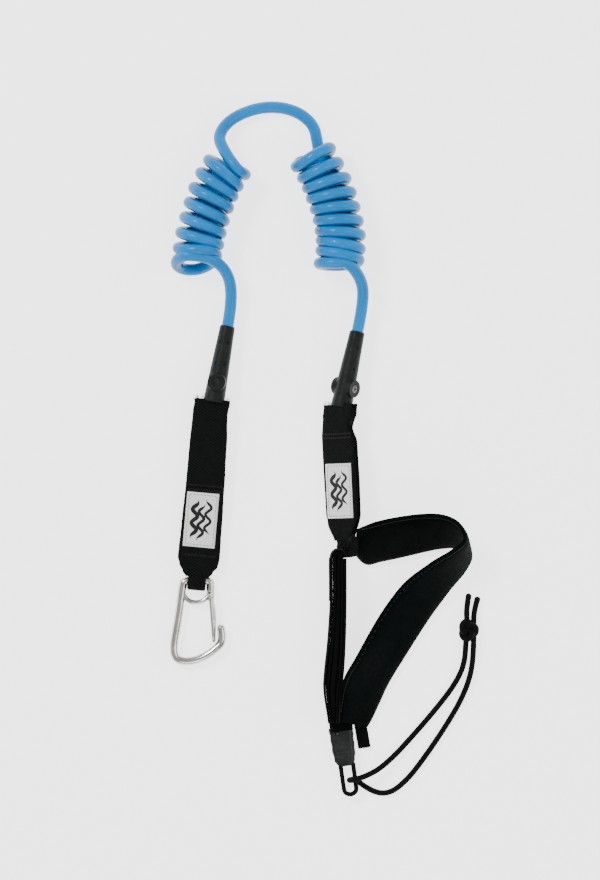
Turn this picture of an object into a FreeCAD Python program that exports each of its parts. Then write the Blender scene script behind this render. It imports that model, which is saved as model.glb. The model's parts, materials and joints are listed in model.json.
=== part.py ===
import FreeCAD, Part
import math
import os
import re
import Sketcher

# Coiled water sports leash, laid out on a flat surface: two coils of urethane cord joined by an arc,
# a moulded end with a swivel on each, a webbing tab with a snap hook on the left, and a webbing tab
# with a padded limb cuff and a pull cord on the right. Millimetres, +Z up, +Y towards the coils.
# The origin is under the middle of the leash, at the surface that it lies on.

Vector = FreeCAD.Vector
Rotation = FreeCAD.Rotation
Placement = FreeCAD.Placement

doc = FreeCAD.newDocument("CoiledLeash")
sheet = doc.addObject("Spreadsheet::Sheet", "Sizes")

DIMENSIONS = [
    ("cord_radius", 3.8),
    ("coil_radius", 12.3),
    ("end_length", 49.0),
    ("end_bottom_radius", 6.8),
    ("end_top_radius", 4.8),
    ("end_rim_round", 0.7),
    ("boss_height", 12.7),
    ("boss_radius", 5.7),
    ("boss_half_length", 7.6),
    ("collar_height", 3.0),
    ("chamber_top", 9.0),
    ("chamber_radius", 5.0),
    ("neck_radius", 2.5),
    ("running_gap", 0.08),
    ("plug_bottom", 20.0),
    ("plug_flare_top", 25.0),
    ("plug_flare_radius", 4.3),
    ("screw_radius", 1.5),
    ("screw_head_radius", 2.5),
    ("screw_head_depth", 1.4),
    ("nut_corner_radius", 2.8),
    ("nut_depth", 2.0),
    ("vent_radius", 0.65),
    ("vent_side", 2.4),
    ("vent_low", 24.5),
    ("vent_high", 38.0),
    ("vent_floor", 3.7),
    ("head_radius", 4.4),
    ("head_thickness", 2.4),
    ("washer_gap", 0.1),
    ("washer_thickness", 0.8),
    ("eye_rod_radius", 1.5),
    ("eye_half_width", 5.5),
    ("eye_top_drop", 2.0),
    ("eye_bar_drop", 7.2),
    ("web_width", 25.0),
    ("core_thickness", 2.6),
    ("wrap_thickness", 1.25),
    ("wrap_spare", 0.2),
    ("notch_half_width", 9.4),
    ("notch_depth", 3.6),
    ("shoulder_rise", 5.4),
    ("loop_wall", 1.25),
    ("loop_gap", 0.45),
    ("eye_loop_half_width", 3.6),
    ("hook_loop_half_width", 4.2),
    ("left_tab_length", 106.5),
    ("right_tab_length", 79.5),
    ("taper_length", 14.0),
    ("neck_length", 7.0),
    ("flap_step", 46.8),
    ("label_width", 20.4),
    ("label_length", 34.6),
    ("label_thickness", 0.4),
    ("label_border", 1.3),
    ("thread_height", 0.3),
    ("thread_width", 0.6),
    ("tack_length", 21.0),
    ("tack_width", 1.1),
    ("tack_pitch", 2.4),
    ("hook_rod_radius", 2.5),
    ("eye_bar_radius", 1.5),
    ("gate_wire_radius", 1.0),
    ("cuff_width", 38.0),
    ("cuff_thickness", 5.0),
    ("strap_height", 25.0),
    ("closure_width", 14.0),
    ("closure_length", 25.0),
    ("closure_thickness", 3.0),
    ("closure_corner", 2.5),
    ("closure_level", 6.5),
    ("rivet_radius", 1.4),
    ("rivet_height", 0.9),
    ("ring_rod_radius", 1.5),
    ("ring_half_width", 4.0),
    ("ring_length", 15.5),
    ("hitch_place", 9.0),
    ("pull_cord_radius", 1.8),
    ("patch_width", 8.0),
    ("patch_length", 15.0),
    ("patch_thickness", 2.4),
]

for row, (alias, value) in enumerate(DIMENSIONS, start=1):
    sheet.set(f"A{row}", alias)
    sheet.set(f"B{row}", str(value))
    sheet.setAlias(f"B{row}", alias)
doc.recompute()

ALIASES = {alias for alias, _ in DIMENSIONS}
subparts = []
radii = []


def size(alias):
    return float(sheet.get(alias))


def bound(expression):
    """Point every alias word of an expression at its cell."""
    return re.sub(
        r"[a-z_]+",
        lambda word: f"Sizes.{word.group(0)}" if word.group(0) in ALIASES else word.group(0),
        expression,
    )


def keep(piece, label, placement=None):
    """Give a finished sub-part its label and its place."""
    piece.Label = label
    if placement is not None:
        piece.Placement = placement
    subparts.append(piece)
    return piece


# ---- sketches and features ------------------------------------------------------------------


def new_sketch(body, role, level=None):
    sketch = body.newObject("Sketcher::SketchObject", body.Name + "Sketch")
    plane = [f for f in body.Origin.OriginFeatures if f.Role == role][0]
    sketch.AttachmentSupport = (plane, [""])
    sketch.MapMode = "FlatFace"
    if level is not None:
        sketch.setExpression(".AttachmentOffset.Base.z", bound(level))
    return sketch


def constrain(sketch, kind, name, expression, *where):
    index = sketch.addConstraint(Sketcher.Constraint(kind, *where, 1.0))
    sketch.renameConstraint(index, name)
    sketch.setExpression(f".Constraints.{name}", bound(expression))


def outline(body, role, corners, level=None):
    """A closed outline of straight edges, each corner placed by two expressions."""
    sketch = new_sketch(body, role, level)
    count = len(corners)
    start = []
    for i in range(count):
        turn = 2 * math.pi * i / count
        start.append(Vector(10 * math.cos(turn), 10 * math.sin(turn), 0))
    for i in range(count):
        sketch.addGeometry(Part.LineSegment(start[i], start[(i + 1) % count]), False)
    for i in range(count):
        sketch.addConstraint(Sketcher.Constraint("Coincident", i, 2, (i + 1) % count, 1))
    for i, (across, up) in enumerate(corners):
        constrain(sketch, "DistanceX", f"x{i}", str(across), -1, 1, i, 1)
        constrain(sketch, "DistanceY", f"y{i}", str(up), -1, 1, i, 1)
    return sketch


def circles(body, role, rings, level=None):
    """Circles, each with the expressions of its centre and its radius."""
    sketch = new_sketch(body, role, level)
    for i, (across, up, radius) in enumerate(rings):
        sketch.addGeometry(Part.Circle(Vector(5 * i + 1, 1, 0), Vector(0, 0, 1), 1), False)
        constrain(sketch, "DistanceX", f"x{i}", str(across), -1, 1, i, 3)
        constrain(sketch, "DistanceY", f"y{i}", str(up), -1, 1, i, 3)
        constrain(sketch, "Radius", f"r{i}", str(radius), i)
    return sketch


def new_body(name):
    return doc.addObject("PartDesign::Body", name)


def pad(body, sketch, length, symmetric=False):
    feature = body.newObject("PartDesign::Pad", body.Name + "Pad")
    feature.Profile = sketch
    feature.setExpression("Length", bound(length))
    if symmetric:
        feature.SideType = "Symmetric"
    return feature


def pocket(body, sketch, depth, symmetric=False, reverse=False):
    feature = body.newObject("PartDesign::Pocket", body.Name + "Pocket")
    feature.Profile = sketch
    feature.setExpression("Length", bound(depth))
    feature.Reversed = reverse
    if symmetric:
        feature.SideType = "Symmetric"
    return feature


def revolve(body, sketch, kind="PartDesign::Revolution"):
    feature = body.newObject(kind, body.Name + kind.split("::")[1])
    feature.Profile = sketch
    feature.ReferenceAxis = (sketch, ["V_Axis"])
    feature.Angle = 360
    return feature


def bar(name, wide, long, thick, placement, label):
    """A Part box centred on its own frame in X and Y, its underside at Z = 0."""
    box = doc.addObject("Part::Box", name)
    box.setExpression("Length", bound(wide))
    box.setExpression("Width", bound(long))
    box.setExpression("Height", bound(thick))
    doc.recompute()
    middle = Placement(Vector(-box.Length.Value / 2, -box.Width.Value / 2, 0), Rotation())
    return keep(box, label, placement.multiply(middle))


# ---- bent rods, cords and lofts ---------------------------------------------------------------


def bend_radius(before, corner, after, share):
    """The radius of the arc that takes this share of the shorter run beside a corner."""
    one = before - corner
    two = after - corner
    half_turn = (math.pi - one.getAngle(two)) / 2
    return share * min(one.Length, two.Length) / math.tan(half_turn)


def rounded_path(points, share=0.45):
    """Straight runs joined by tangent arcs."""
    edges = []
    reached = points[0]
    for before, corner, after in zip(points, points[1:], points[2:]):
        radius = bend_radius(before, corner, after, share)
        one = (before - corner).normalize()
        two = (after - corner).normalize()
        half = one.getAngle(two) / 2
        setback = radius / math.tan(half)
        middle = (one + two).normalize()
        arc_start = corner + one * setback
        arc_end = corner + two * setback
        arc_middle = corner + middle * (radius / math.sin(half) - radius)
        edges.append(Part.LineSegment(reached, arc_start).toShape())
        edges.append(Part.Arc(arc_start, arc_middle, arc_end).toShape())
        reached = arc_end
        radii.append(radius)
    edges.append(Part.LineSegment(reached, points[-1]).toShape())
    return Part.Wire(edges)


def tube(points, radius, share=0.45):
    """A round rod along the rounded path through the points."""
    path = rounded_path([Vector(*p) for p in points], share)
    first = path.Edges[0]
    ring = Part.Circle(first.firstVertex().Point, first.tangentAt(first.FirstParameter), radius)
    solid = path.makePipeShell([Part.Wire(ring.toShape())], True, True)
    expected = math.pi * radius * radius * path.Length
    assert abs(solid.Volume / expected - 1) < 0.01, "a rod's volume is not its section times its length"
    return solid, path.Length


def feature(name, shape, label, placement=None):
    piece = doc.addObject("Part::Feature", name)
    piece.Shape = shape
    return keep(piece, label, placement)


def cord(label, points, radius, placement=None):
    """One plain tube of a free cord; its bends are printed in cord diameters."""
    radii.clear()
    shape, length = tube(points, radius)
    tightest = min(radii, default=0) / (2 * radius)
    print(f"{label}: {length:.1f} mm long, tightest bend {tightest:.1f} diameters")
    return feature(label, shape, label, placement)


def loft(sections):
    """A ruled solid through four-cornered sections."""
    wires = [Part.makePolygon(corners + corners[:1]) for corners in sections]
    return Part.makeLoft(wires, True, True)


def leash_frame(place, heading, pitch=0.0, roll=0.0):
    """A frame whose -Y runs down the leash, turned about Z, then tipped, then rolled on its own length."""
    turn = Rotation(Vector(0, 0, 1), heading)
    tip = Rotation(Vector(1, 0, 0), pitch)
    spin = Rotation(Vector(0, 1, 0), roll)
    return Placement(Vector(*place), turn.multiply(tip).multiply(spin))


# ---- where the two ends lie ---------------------------------------------------------------------

SIDES = {
    "left": {
        "mouth": (-68.6, 99.4, 10.5),
        "end_heading": -10.4,
        "boss_roll": -94.0,
        "tab_heading": -5.1,
        "tab_pitch": 2.7,
        "tab_roll": 0.0,
        "tab_length": "left_tab_length",
        "label_place": (-0.7, -67.9),
    },
    "right": {
        "mouth": (12.1, 96.2, 11.5),
        "end_heading": -12.1,
        "boss_roll": -38.0,
        "tab_heading": 2.7,
        "tab_pitch": 0.0,
        "tab_roll": -38.0,
        "tab_length": "right_tab_length",
        "label_place": (-0.3, -46.0),
    },
}


def along_end(side, roll):
    """Frame at a moulded end's mouth: +Z runs up the end towards the cord, X is turned by roll."""
    place = SIDES[side]
    lying = leash_frame(place["mouth"], place["end_heading"])
    upright = Rotation(Vector(1, 0, 0), -90)
    spin = Rotation(Vector(0, 0, 1), roll)
    return lying.multiply(Placement(Vector(0, 0, 0), upright.multiply(spin)))


def eye_bar(side):
    """The middle of the swivel's eye bar, which the tab hangs from."""
    return along_end(side, 0).multVec(Vector(0, 0, -size("eye_bar_drop")))


def bar_frame(side):
    """Frame of the eye bar: X along the bar, -Z away from the moulded end."""
    drop = Placement(Vector(0, 0, -size("eye_bar_drop")), Rotation())
    return along_end(side, SIDES[side]["tab_roll"]).multiply(drop)


def tab_frame(side):
    place = SIDES[side]
    return leash_frame(eye_bar(side), place["tab_heading"], place["tab_pitch"], place["tab_roll"])


# ---- moulded ends and swivels ---------------------------------------------------------------------


def moulded_end(side):
    """Tapered housing moulded on the cord, with a cross boss and a chamber for the swivel's head."""
    body = new_body(side.capitalize() + "End")
    shell = [
        ("0", "0"),
        ("end_bottom_radius", "0"),
        ("end_top_radius", "end_length - end_rim_round"),
        ("end_top_radius - end_rim_round", "end_length"),
        ("0", "end_length"),
    ]
    revolve(body, outline(body, "XZ_Plane", shell))
    boss = circles(body, "YZ_Plane", [("0", "boss_height", "boss_radius")])
    pad(body, boss, "boss_half_length * 2", True)
    doc.recompute()
    whole = body.Shape.Volume
    chamber = [
        ("0", "-1"),
        ("neck_radius + running_gap", "-1"),
        ("neck_radius + running_gap", "collar_height"),
        ("chamber_radius", "collar_height"),
        ("chamber_radius", "chamber_top"),
        ("0", "chamber_top"),
    ]
    revolve(body, outline(body, "XZ_Plane", chamber), "PartDesign::Groove")
    cord_bore = [
        ("0", "plug_bottom"),
        ("plug_flare_radius", "plug_bottom"),
        ("plug_flare_radius", "plug_flare_top"),
        ("cord_radius", "plug_flare_top"),
        ("cord_radius", "end_length + 1"),
        ("0", "end_length + 1"),
    ]
    revolve(body, outline(body, "XZ_Plane", cord_bore), "PartDesign::Groove")
    screw_hole = circles(body, "YZ_Plane", [("0", "boss_height", "screw_radius + running_gap")])
    pocket(body, screw_hole, "boss_half_length * 2 + 2", True)
    head_seat = [("0", "boss_height", "screw_head_radius + running_gap")]
    pocket(body, circles(body, "YZ_Plane", head_seat, "boss_half_length"), "screw_head_depth")
    nut_seat = [("0", "boss_height", "nut_corner_radius + running_gap")]
    pocket(body, circles(body, "YZ_Plane", nut_seat, "nut_depth - boss_half_length"), "nut_depth")
    vents = []
    for across in ("-vent_side", "vent_side"):
        for up in ("vent_low", "vent_high"):
            vents.append((across, up, "vent_radius"))
    near = circles(body, "YZ_Plane", vents, "boss_half_length")
    pocket(body, near, "boss_half_length - vent_floor")
    far = circles(body, "YZ_Plane", vents, "-vent_floor")
    pocket(body, far, "boss_half_length - vent_floor")
    doc.recompute()
    assert body.Shape.Volume < 0.75 * whole, "the moulded end is not hollow"
    keep(body, side + "_moulded_end", along_end(side, SIDES[side]["boss_roll"]))


def cross_screw(side):
    """Screw with a cross recess, across the boss; its own frame runs down the shank."""
    body = new_body(side.capitalize() + "Screw")
    profile = [
        ("0", "0"),
        ("screw_head_radius", "0"),
        ("screw_head_radius", "screw_head_depth * 0.6"),
        ("screw_radius", "screw_head_depth"),
        ("screw_radius", "boss_half_length * 2 - 0.3"),
        ("0", "boss_half_length * 2 - 0.3"),
    ]
    revolve(body, outline(body, "XZ_Plane", profile))
    arm = 1.5
    web = 0.35
    corners = [(web, arm), (web, web), (arm, web), (arm, -web), (web, -web), (web, -arm)]
    corners += [(-x, -y) for x, y in corners]
    doc.recompute()
    before = body.Shape.Volume
    pocket(body, outline(body, "XY_Plane", corners), "screw_head_depth * 0.5", reverse=True)
    doc.recompute()
    assert body.Shape.Volume < before - 0.5, "the screw has no recess"
    across = Rotation(Vector(0, 1, 0), -90)
    seat = Placement(Vector(size("boss_half_length"), 0, size("boss_height")), across)
    keep(body, side + "_cross_screw", along_end(side, SIDES[side]["boss_roll"]).multiply(seat))


def screw_nut(side):
    body = new_body(side.capitalize() + "Nut")
    corners = []
    for i in range(6):
        turn = math.radians(60 * i)
        across = f"nut_corner_radius * {math.cos(turn):.6f}"
        up = f"nut_corner_radius * {math.sin(turn):.6f}"
        corners.append((across, up))
    pad(body, outline(body, "XY_Plane", corners), "nut_depth - 0.2")
    hole = circles(body, "XY_Plane", [("0", "0", "screw_radius")])
    pocket(body, hole, "nut_depth", reverse=True)
    upright = Rotation(Vector(0, 1, 0), 90)
    seat = Placement(Vector(-size("boss_half_length") + 0.2, 0, size("boss_height")), upright)
    keep(body, side + "_screw_nut", along_end(side, SIDES[side]["boss_roll"]).multiply(seat))


def cord_plug(side):
    """The flared cord end, held inside the moulded end."""
    body = new_body(side.capitalize() + "Plug")
    profile = [
        ("0", "plug_bottom"),
        ("plug_flare_radius", "plug_bottom"),
        ("plug_flare_radius", "plug_flare_top"),
        ("cord_radius", "plug_flare_top"),
        ("cord_radius", "end_length"),
        ("0", "end_length"),
    ]
    revolve(body, outline(body, "XZ_Plane", profile))
    keep(body, side + "_cord_plug", along_end(side, 0))


def swivel(side):
    """Headed swivel whose eye hangs out of the mouth, and the washer under its head."""
    stem = new_body(side.capitalize() + "Stem")
    seat = "collar_height + washer_gap * 2 + washer_thickness"
    profile = [
        ("0", "-eye_top_drop"),
        ("neck_radius", "-eye_top_drop"),
        ("neck_radius", seat),
        ("head_radius", seat),
        ("head_radius", seat + " + head_thickness"),
        ("0", seat + " + head_thickness"),
    ]
    revolve(stem, outline(stem, "XZ_Plane", profile))
    half = size("eye_half_width")
    top = -size("eye_top_drop")
    low = -size("eye_bar_drop")
    sides = [Vector(-half, 0, top), Vector(half, 0, top), Vector(half, 0, low), Vector(-half, 0, low)]
    corner = 1.6
    edges = []
    for i in range(4):
        one = sides[i]
        two = sides[(i + 1) % 4]
        after = sides[(i + 2) % 4]
        along = (two - one).normalize()
        onward = (after - two).normalize()
        start = one + along * corner
        stop = two - along * corner
        edges.append(Part.LineSegment(start, stop).toShape())
        middle = two + (onward - along) * (corner * (1 - math.sqrt(0.5)))
        edges.append(Part.Arc(stop, middle, two + onward * corner).toShape())
    path = Part.Wire(edges)
    first = path.Edges[0]
    ring = Part.Circle(first.firstVertex().Point, Vector(1, 0, 0), size("eye_rod_radius"))
    eye = doc.addObject("Part::Feature", side.capitalize() + "Eye")
    eye.Shape = path.makePipeShell([Part.Wire(ring.toShape())], True, True)
    whole = doc.addObject("Part::Fuse", side.capitalize() + "Swivel")
    whole.Base = stem
    whole.Tool = eye
    keep(whole, side + "_swivel", along_end(side, SIDES[side]["tab_roll"]))

    washer = new_body(side.capitalize() + "Washer")
    rings = [("0", "0", "neck_radius + running_gap"), ("0", "0", "head_radius")]
    pad(washer, circles(washer, "XY_Plane", rings, "collar_height + washer_gap"), "washer_thickness")
    keep(washer, side + "_thrust_washer", along_end(side, 0))


# ---- webbing tabs ---------------------------------------------------------------------------------


def tab_outline(lower_half_width, length):
    """Half of a tab's outline, from its shoulder beside the swivel down to its lower end."""
    return [
        ("notch_half_width", "shoulder_rise"),
        ("web_width / 2", "shoulder_rise"),
        ("web_width / 2", f"-({length} - taper_length)"),
        (lower_half_width, f"-({length} - neck_length)"),
    ]


def mirrored(half):
    """The other half of an outline, in the order that closes it."""
    return [(f"-({x})", y) for x, y in reversed(half)]


def loop_sleeve(name, half_width, rod_radius, middle):
    """Webbing turned round a bar along X: a sleeve, and the bore that clears the bar."""
    outer = doc.addObject("Part::Cylinder", name + "Outer")
    outer.setExpression("Radius", bound(f"{rod_radius} + loop_gap + loop_wall"))
    outer.setExpression("Height", bound(f"{half_width} * 2"))
    bore = doc.addObject("Part::Cylinder", name + "Bore")
    bore.setExpression("Radius", bound(f"{rod_radius} + loop_gap"))
    bore.setExpression("Height", bound(f"{half_width} * 4"))
    along_x = Rotation(Vector(0, 1, 0), 90)
    for cylinder, reach in ((outer, size(half_width)), (bore, 2 * size(half_width))):
        cylinder.Placement = middle.multiply(Placement(Vector(-reach, 0, 0), along_x))
    return outer, bore


def tab_core(side):
    """The folded inner strap that carries the load from the swivel's eye."""
    length = SIDES[side]["tab_length"]
    name = side.capitalize() + "Core"
    body = new_body(name)
    lower = "hook_loop_half_width" if side == "left" else "web_width / 5"
    stop = f"-({length} - hook_rod_radius - loop_gap - 0.6)" if side == "left" else f"-{length}"
    neck_top = "-(eye_rod_radius + loop_gap + 0.6)"
    half = [("eye_loop_half_width", neck_top), ("eye_loop_half_width", "-notch_depth")]
    half += [("notch_half_width", "-notch_depth")] + tab_outline(lower, length) + [(lower, stop)]
    pad(body, outline(body, "XY_Plane", half + mirrored(half)), "core_thickness", True)
    solids = [body]
    holes = []
    at_eye = tab_frame(side).inverse().multiply(bar_frame(side))
    outer, bore = loop_sleeve(name + "Eye", "eye_loop_half_width", "eye_rod_radius", at_eye)
    solids.append(outer)
    holes.append(bore)
    if side == "left":
        at_hook = Placement(Vector(0, -size(length), 0), Rotation())
        outer, bore = loop_sleeve(name + "Hook", lower, "hook_rod_radius", at_hook)
        solids.append(outer)
        holes.append(bore)
    joined = doc.addObject("Part::MultiFuse", name + "Joined")
    joined.Shapes = solids
    bores = doc.addObject("Part::MultiFuse", name + "Bores") if len(holes) > 1 else holes[0]
    if len(holes) > 1:
        bores.Shapes = holes
    core = doc.addObject("Part::Cut", name + "Cut")
    core.Base = joined
    core.Tool = bores
    keep(core, side + "_tab_core", tab_frame(side))


def wrap_layer(side, name, label, top, bottom, level, thickness):
    """One flat layer of webbing sewn on a face of the core; a bottom of None runs to the lower end."""
    body = new_body(side.capitalize() + name)
    length = SIDES[side]["tab_length"]
    if bottom is None:
        bottom = f"-({length} - taper_length)"
    edge = "(web_width / 2 + wrap_spare)"
    half = [(edge, top), (edge, bottom)]
    pad(body, outline(body, "XY_Plane", half + mirrored(half), level), thickness)
    keep(body, f"{side}_tab_{label}", tab_frame(side))


def tab_label(side):
    """A woven label and the row of stitches that holds its border."""
    across, down = SIDES[side]["label_place"]
    level = size("core_thickness") / 2 + size("wrap_thickness")
    seat = tab_frame(side).multiply(Placement(Vector(across, down, level), Rotation()))
    bar(side.capitalize() + "Label", "label_width", "label_length", "label_thickness", seat, side + "_label")
    body = new_body(side.capitalize() + "LabelStitch")
    for inset, cut in (("label_border", False), ("label_border + thread_width", True)):
        right = f"(label_width / 2 - ({inset}))"
        top = f"(label_length / 2 - ({inset}))"
        square = [(right, top), ("-" + right, top), ("-" + right, "-" + top), (right, "-" + top)]
        frame = outline(body, "XY_Plane", square)
        if cut:
            pocket(body, frame, "thread_height + 1", reverse=True)
        else:
            pad(body, frame, "thread_height")
    above = Placement(Vector(0, 0, size("label_thickness")), Rotation())
    keep(body, side + "_label_stitching", seat.multiply(above))


def bar_tacks(side, rows):
    """Rows of zigzag stitching across the face of a tab, as one node of separate bars."""
    level = size("core_thickness") / 2 + size("wrap_thickness")
    pieces = []
    for i, down in enumerate(rows):
        tack = doc.addObject("Part::Box", f"{side.capitalize()}Tack{i}")
        tack.setExpression("Length", bound("tack_length"))
        tack.setExpression("Width", bound("tack_width"))
        tack.setExpression("Height", bound("thread_height"))
        tack.Placement = Placement(Vector(-size("tack_length") / 2, down, level), Rotation())
        pieces.append(tack)
    group = doc.addObject("Part::Compound", side.capitalize() + "Tacks")
    group.Links = pieces
    keep(group, side + "_tab_stitching", tab_frame(side))


def webbing_tab(side):
    tab_core(side)
    face = "core_thickness / 2"
    under = "-(core_thickness / 2 + wrap_thickness)"
    start = "-notch_depth"
    if side == "left":
        wrap_layer(side, "Flap", "upper_flap", start, "-flap_step", face, "wrap_thickness")
        wrap_layer(side, "Face", "lower_face", "-(flap_step + 0.4)", None, face, "wrap_thickness")
        step = -size("flap_step")
        pitch = size("tack_pitch")
        bar_tacks(side, [step + 0.6, step - pitch, 2 - size("left_tab_length") + size("taper_length")])
    else:
        wrap_layer(side, "Face", "face", start, None, face, "wrap_thickness")
        bar_tacks(side, [-10.0, -10.0 - size("tack_pitch")])
    wrap_layer(side, "Back", "back", start, None, under, "wrap_thickness")
    tab_label(side)


# ---- snap hook ------------------------------------------------------------------------------------


def hook_frame_place():
    """The middle of the hook's top bar; the hook lies level."""
    pivot = tab_frame("left").multVec(Vector(0, -size("left_tab_length"), 0))
    return Placement(pivot, Rotation())


GATE_HINGE = (8.4, -8.0)
GATE_TIP = (10.6, -37.5)


def snap_hook():
    """Bent rod with a narrow top for the webbing, a wide foot and an open nose; the gate shuts it."""
    spine = [(8.7, -11.5, 0), (8.5, 0, 0), (-8.3, 0, 0), (-10.4, -14.0, 0), (-14.2, -41.0, 0)]
    foot = [(-12.0, -52.0, 0), (3.0, -49.5, 0), (16.6, -40.5, 0), (14.8, -30.5, 0)]
    rod, _ = tube(spine + foot, size("hook_rod_radius"), 0.33)
    frame = doc.addObject("Part::Feature", "HookRod")
    frame.Shape = rod
    hole = doc.addObject("Part::Cylinder", "GateHole")
    hole.setExpression("Radius", bound("gate_wire_radius + running_gap"))
    hole.setExpression("Height", bound("hook_rod_radius * 4"))
    hole.Placement = Placement(Vector(*GATE_HINGE, -2 * size("hook_rod_radius")), Rotation())
    cut = doc.addObject("Part::Cut", "HookFrame")
    cut.Base = frame
    cut.Tool = hole
    keep(cut, "hook_frame", hook_frame_place())
    inner = size("hook_rod_radius") + 0.2
    bow = [(-9.2 + inner, -9.5, 0), (-1.0, -13.6, 0), (8.4 - inner, -9.8, 0)]
    shape, _ = tube(bow, size("eye_bar_radius"))
    feature("HookEyeBar", shape, "hook_eye_bar", hook_frame_place())


def wire_gate():
    """One wire: a pin through the frame, where its ends meet, and two legs joined inside the nose."""
    wide = size("hook_rod_radius") + size("gate_wire_radius") + 0.5
    near = 1.3
    x0, y0 = GATE_HINGE
    x1, y1 = GATE_TIP
    wire = [
        (x0, y0, 0.05),
        (x0, y0, wide),
        (x1 - 0.9, y1 + 14, wide - 0.4),
        (x1, y1, near),
        (x1, y1, -near),
        (x1 + 0.7, y1 + 16, 0.4 - wide),
        (x0, y0, -wide),
        (x0, y0, -0.05),
    ]
    shape, _ = tube(wire, size("gate_wire_radius"))
    feature("WireGate", shape, "wire_gate", hook_frame_place())


# ---- padded cuff ------------------------------------------------------------------------------------

# The band leans over: each station gives its lower edge, its upper edge and the share of full width.
CUFF_STATIONS = [
    ((26.0, -4.4), (29.5, 22.5), 1.0),
    ((37.0, -2.2), (39.5, 25.5), 1.0),
    ((50.0, 0.4), (51.0, 27.5), 1.0),
    ((63.0, 3.6), (63.5, 29.0), 1.0),
    ((75.0, 6.0), (75.5, 28.5), 1.0),
    ((86.0, 6.5), (85.0, 24.0), 1.0),
    ((94.0, 1.0), (89.5, 14.0), 1.0),
    ((90.0, -9.5), (80.5, 5.5), 1.0),
    ((81.0, -20.5), (67.5, -2.0), 1.0),
    ((68.5, -38.0), (51.0, -15.0), 1.0),
    ((56.0, -57.5), (36.0, -35.0), 1.0),
    ((43.0, -78.5), (24.0, -59.5), 1.0),
    ((33.0, -94.0), (18.0, -84.0), 0.85),
    ((29.5, -101.5), (16.0, -97.5), 0.6),
]


def cuff_pad():
    """Neoprene band as a ruled solid; each section stands on its lower edge."""
    half = size("cuff_thickness") / 2
    lows, highs = [], []
    for low, high, share in CUFF_STATIONS:
        width = size("cuff_width") * share
        plan = math.dist(low, high)
        rise = math.sqrt(width * width - plan * plan)
        foot = 0.2 + half * plan / width
        lows.append(Vector(*low, foot))
        highs.append(Vector(*high, foot + rise))
    sections = []
    for i, (low, high) in enumerate(zip(lows, highs)):
        first, last = max(i - 1, 0), min(i + 1, len(lows) - 1)
        along = (lows[last] + highs[last]) - (lows[first] + highs[first])
        normal = along.cross(high - low).normalize() * half
        sections.append([low - normal, low + normal, high + normal, high - normal])
    feature("CuffPad", loft(sections), "cuff_pad")
    return sections[0]


def cuff_neck(pad_end):
    """Webbing that joins the right tab's lower end to the pad."""
    tab = tab_frame("right")
    end = -size("right_tab_length") - 0.05
    half = size("web_width") / 5
    thick = size("core_thickness") / 2
    corners = [(-half, -thick), (-half, thick), (half, thick), (half, -thick)]
    start = [tab.multVec(Vector(x, end, z)) for x, z in corners]
    centre = (pad_end[0] + pad_end[1] + pad_end[2] + pad_end[3]) * 0.25
    stop = [corner + (centre - corner) * 0.3 + Vector(-0.3, 0, 0) for corner in pad_end]
    feature("CuffNeck", loft([start, stop]), "cuff_neck")


def closing_strap():
    """Doubled strap standing on edge: an outer layer with the fold, and an inner layer."""
    outer = [(4.6, 1.0), (7.0, 5.6), (11.0, 6.4), (14.6, 4.4), (15.6, 0.5)]
    outer += [(10.9, 0.5), (10.6, -26.4), (10.2, -51.8), (8.2, -71.5), (6.2, -84.0), (7.4, -101.0)]
    outer += [(4.2, -101.0), (1.2, -84.0), (3.0, -70.8), (5.4, -51.8), (5.8, -26.4)]
    inner = [(15.4, 0.2), (15.0, -26.4), (14.8, -51.8), (14.0, -70.8), (11.6, -84.0), (10.0, -101.0)]
    inner += [(7.8, -101.0), (6.8, -84.0), (8.8, -71.5), (10.7, -51.8), (11.1, -26.4), (11.3, 0.2)]
    for name, label, corners in (
        ("StrapOuter", "closing_strap_outer", outer),
        ("StrapInner", "closing_strap_inner", inner),
    ):
        body = new_body(name)
        pad(body, outline(body, "XY_Plane", corners, "0.2"), "strap_height")
        keep(body, label)


# ---- closure tab, its ring and the pull cord --------------------------------------------------------


def closure_frame():
    """Top edge of the closure tab, in the middle of its thickness."""
    return leash_frame((12.3, -106.6, size("closure_level")), 8.0)


def closure():
    body = new_body("ClosureTab")
    half = "(closure_width / 2)"
    taper = "(closure_width / 2 - 1.5)"
    right = [(half, "0"), (half, "-closure_length * 0.6"), (taper, "closure_corner - closure_length")]
    right += [(f"{taper} - closure_corner", "-closure_length")]
    sketch = outline(body, "XY_Plane", right + mirrored(right))
    pad(body, sketch, "closure_thickness", True)
    keep(body, "closure_tab", closure_frame())

    half = size("ring_half_width")
    top = -size("closure_length") - 0.05
    low = top - size("ring_length")
    legs = [(-half, top, 0), (-half, low, 0), (0, low - 2.2, 0), (half, low, 0), (half, top, 0)]
    shape, _ = tube(legs, size("ring_rod_radius"))
    feature("ClosureRing", shape, "closure_ring", closure_frame())

    rivet = new_body("ClosureRivet")
    profile = [
        ("0", "0"),
        ("rivet_radius", "0"),
        ("rivet_radius * 0.7", "rivet_height * 0.75"),
        ("0", "rivet_height"),
    ]
    revolve(rivet, outline(rivet, "XZ_Plane", profile))
    seat = Placement(Vector(-3.2, -3.6, size("closure_thickness") / 2), Rotation())
    keep(rivet, "closure_rivet", closure_frame().multiply(seat))

    patch = Placement(Vector(25.6, -112.5, 0.3), Rotation(Vector(0, 0, 1), 10))
    bar("CuffPatch", "patch_width", "patch_length", "patch_thickness", patch, "cuff_end_patch")


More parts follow.
